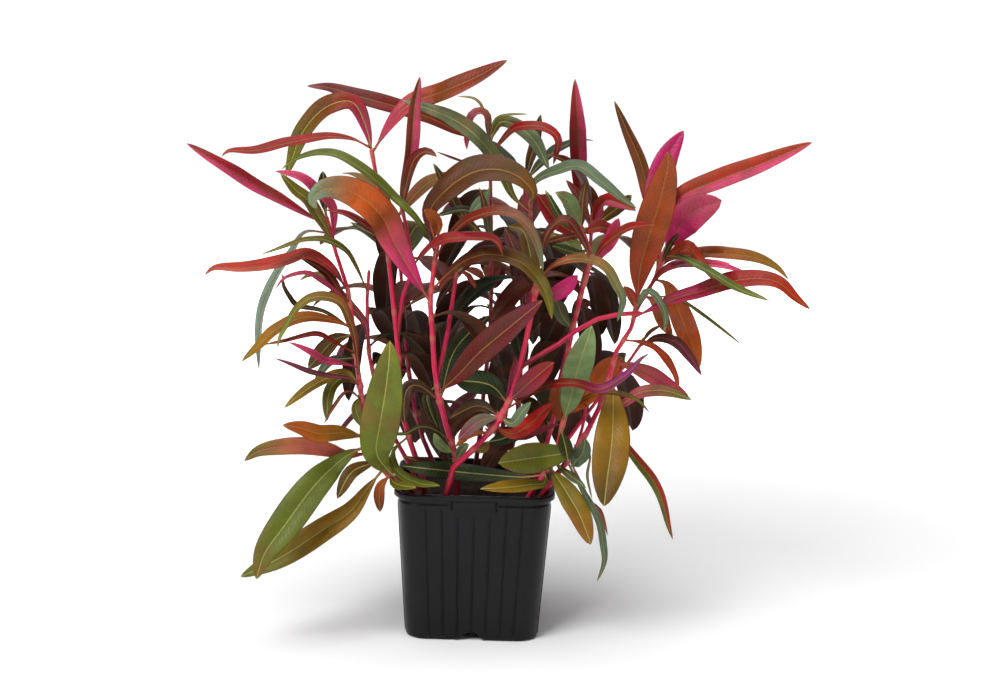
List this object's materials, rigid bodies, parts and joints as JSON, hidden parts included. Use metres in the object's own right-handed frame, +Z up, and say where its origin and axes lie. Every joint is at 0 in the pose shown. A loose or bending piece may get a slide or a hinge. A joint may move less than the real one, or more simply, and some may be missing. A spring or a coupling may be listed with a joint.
{
  "type": "potted aquarium plant",
  "caption": "Bushy red and olive lance-leaved water plant with pink stems, rooted in dark soil in a square black nursery pot.",
  "frame": {"origin": "centre of the pot's flat underside", "axes": "+Z up, -Y toward the side with the spreading green leaves over the rim, +X along the plant's width"},
  "size_m": [0.3441, 0.1897, 0.324],
  "materials": {
    "pot_plastic": "satin, with damp specks",
    "soil": "rough",
    "stem": "satin",
    "leaf": "satin"
  },
  "bodies": {
    "root": {"leaf_big_rust_left": "leaf", "leaf_broad_rust_right": "leaf", "leaf_brown_arch": "leaf", "leaf_centre_spear": "leaf", "leaf_front_arch_high": "leaf", "leaf_front_arch_low": "leaf", "leaf_front_hook_right": "leaf", "leaf_front_olive": "leaf", "leaf_front_shield": "leaf", "leaf_left_hanging": "leaf", "leaf_left_olive_hook": "leaf", "leaf_left_red": "leaf", "leaf_left_spear": "leaf", "leaf_long_green": "leaf", "leaf_low_left_green": "leaf", "leaf_low_left_ochre": "leaf", "leaf_low_left_olive": "leaf", "leaf_low_left_salmon": "leaf", "leaf_low_right_trailing": "leaf", "leaf_magenta_right": "leaf", "leaf_pale_blunt": "leaf", "leaf_right_arch_red": "leaf", "leaf_right_green": "leaf", "leaf_right_hanging": "leaf", "leaf_right_long_pink": "leaf", "leaf_right_ochre_hanging": "leaf", "leaf_right_pink_low": "leaf", "leaf_right_spear": "leaf", "leaf_right_upright": "leaf", "leaf_rim_drooping": "leaf", "leaf_top_grey_arch": "leaf", "leaf_top_grey_left": "leaf", "leaf_top_left_hook": "leaf", "leaf_top_left_long": "leaf", "leaf_top_left_low": "leaf", "leaf_top_right_spear": "leaf", "leaf_top_right_upright": "leaf", "leaf_top_upright": "leaf", "leaf_violet_strap": "leaf", "pot": "pot_plastic", "soil": "soil", "stem_back_centre": "stem", "stem_back_left": "stem", "stem_back_right": "stem", "stem_back_tall": "stem", "stem_centre_left": "stem", "stem_centre_left_shoot": "stem", "stem_far_right": "stem", "stem_front_bright": "stem", "stem_front_crossing": "stem", "stem_left": "stem", "stem_left_inner": "stem", "stem_low_right": "stem", "stem_right": "stem", "stem_right_fork": "stem", "stem_right_inner": "stem", "stem_right_thin": "stem", "stem_rosette_right": "stem", "stem_tall_left": "stem", "stem_tall_left_shoot": "stem"}
  },
  "joints": []
}
